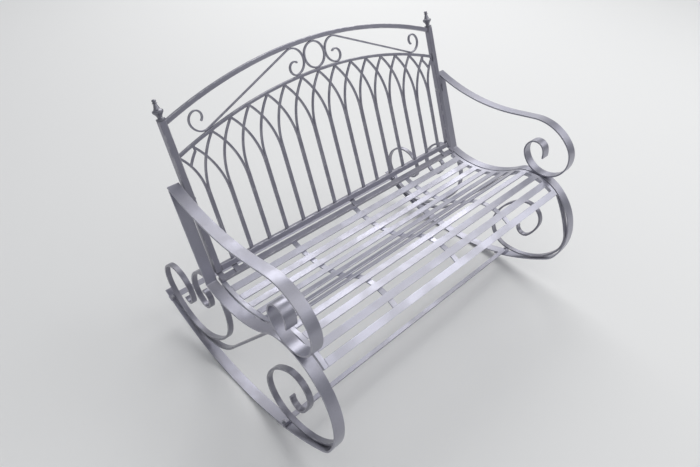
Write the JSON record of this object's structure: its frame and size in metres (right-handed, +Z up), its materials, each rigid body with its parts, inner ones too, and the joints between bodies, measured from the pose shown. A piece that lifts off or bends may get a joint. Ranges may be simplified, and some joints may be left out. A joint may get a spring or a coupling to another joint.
{
  "type": "rocking bench",
  "caption": "Rocking garden bench of bent flat bar: scrolled side frames on curved runners, a slatted contoured seat and a tall raked back with interlaced pointed tracery.",
  "frame": {"origin": "middle of the bounding box's footprint, on the ground under the runners", "axes": "+X along the bench's width, +Y to the back, +Z up; the sitter faces -Y, and left and right are as seen from the front"},
  "size_m": [1.308, 0.9934, 1.0348],
  "materials": {
    "bottom_rail": "satin metallic grey paint",
    "centre_ring": "satin metallic grey paint",
    "front_cross_bar": "satin metallic grey paint",
    "left_arm_strap": "satin metallic grey paint",
    "left_back_scroll_bar": "satin metallic grey paint",
    "left_finial": "satin metallic grey paint",
    "left_front_scroll_bar": "satin metallic grey paint",
    "left_post_strap": "satin metallic grey paint",
    "left_rear_scroll_bar": "satin metallic grey paint",
    "left_rocker_bar": "satin metallic grey paint",
    "left_seat_rail": "satin metallic grey paint",
    "left_seat_strap": "satin metallic grey paint",
    "left_spindle_stub": "satin metallic grey paint",
    "left_upright": "satin metallic grey paint",
    "lower_arch": "satin metallic grey paint",
    "rear_cross_bar": "satin metallic grey paint",
    "right_arm_strap": "satin metallic grey paint",
    "right_back_scroll_bar": "satin metallic grey paint",
    "right_finial": "satin metallic grey paint",
    "right_front_scroll_bar": "satin metallic grey paint",
    "right_post_strap": "satin metallic grey paint",
    "right_rear_scroll_bar": "satin metallic grey paint",
    "right_rocker_bar": "satin metallic grey paint",
    "right_seat_rail": "satin metallic grey paint",
    "right_seat_strap": "satin metallic grey paint",
    "right_spindle_stub": "satin metallic grey paint",
    "right_upright": "satin metallic grey paint",
    "seat_cross_strap_1": "satin metallic grey paint",
    "seat_cross_strap_2": "satin metallic grey paint",
    "seat_cross_strap_3": "satin metallic grey paint",
    "seat_rear_rail": "satin metallic grey paint",
    "seat_slat_01": "satin metallic grey paint",
    "seat_slat_02": "satin metallic grey paint",
    "seat_slat_03": "satin metallic grey paint",
    "seat_slat_04": "satin metallic grey paint",
    "seat_slat_05": "satin metallic grey paint",
    "seat_slat_06": "satin metallic grey paint",
    "seat_slat_07": "satin metallic grey paint",
    "seat_slat_08": "satin metallic grey paint",
    "seat_slat_09": "satin metallic grey paint",
    "seat_slat_10": "satin metallic grey paint",
    "seat_slat_11": "satin metallic grey paint",
    "spindle_01": "satin metallic grey paint",
    "spindle_02": "satin metallic grey paint",
    "spindle_03": "satin metallic grey paint",
    "spindle_04": "satin metallic grey paint",
    "spindle_05": "satin metallic grey paint",
    "spindle_06": "satin metallic grey paint",
    "spindle_07": "satin metallic grey paint",
    "spindle_08": "satin metallic grey paint",
    "spindle_09": "satin metallic grey paint",
    "spindle_10": "satin metallic grey paint",
    "spindle_11": "satin metallic grey paint",
    "spindle_12": "satin metallic grey paint",
    "spindle_13": "satin metallic grey paint",
    "spindle_14": "satin metallic grey paint",
    "spindle_15": "satin metallic grey paint",
    "top_arch": "satin metallic grey paint"
  },
  "bodies": {
    "root": {"bottom_rail": "bottom_rail", "centre_ring": "centre_ring", "front_cross_bar": "front_cross_bar", "left_arm_strap": "left_arm_strap", "left_back_scroll_bar": "left_back_scroll_bar", "left_finial": "left_finial", "left_front_scroll_bar": "left_front_scroll_bar", "left_post_strap": "left_post_strap", "left_rear_scroll_bar": "left_rear_scroll_bar", "left_rocker_bar": "left_rocker_bar", "left_seat_rail": "left_seat_rail", "left_seat_strap": "left_seat_strap", "left_spindle_stub": "left_spindle_stub", "left_upright": "left_upright", "lower_arch": "lower_arch", "rear_cross_bar": "rear_cross_bar", "right_arm_strap": "right_arm_strap", "right_back_scroll_bar": "right_back_scroll_bar", "right_finial": "right_finial", "right_front_scroll_bar": "right_front_scroll_bar", "right_post_strap": "right_post_strap", "right_rear_scroll_bar": "right_rear_scroll_bar", "right_rocker_bar": "right_rocker_bar", "right_seat_rail": "right_seat_rail", "right_seat_strap": "right_seat_strap", "right_spindle_stub": "right_spindle_stub", "right_upright": "right_upright", "seat_cross_strap_1": "seat_cross_strap_1", "seat_cross_strap_2": "seat_cross_strap_2", "seat_cross_strap_3": "seat_cross_strap_3", "seat_rear_rail": "seat_rear_rail", "seat_slat_01": "seat_slat_01", "seat_slat_02": "seat_slat_02", "seat_slat_03": "seat_slat_03", "seat_slat_04": "seat_slat_04", "seat_slat_05": "seat_slat_05", "seat_slat_06": "seat_slat_06", "seat_slat_07": "seat_slat_07", "seat_slat_08": "seat_slat_08", "seat_slat_09": "seat_slat_09", "seat_slat_10": "seat_slat_10", "seat_slat_11": "seat_slat_11", "spindle_01": "spindle_01", "spindle_02": "spindle_02", "spindle_03": "spindle_03", "spindle_04": "spindle_04", "spindle_05": "spindle_05", "spindle_06": "spindle_06", "spindle_07": "spindle_07", "spindle_08": "spindle_08", "spindle_09": "spindle_09", "spindle_10": "spindle_10", "spindle_11": "spindle_11", "spindle_12": "spindle_12", "spindle_13": "spindle_13", "spindle_14": "spindle_14", "spindle_15": "spindle_15", "top_arch": "top_arch"}
  },
  "joints": []
}
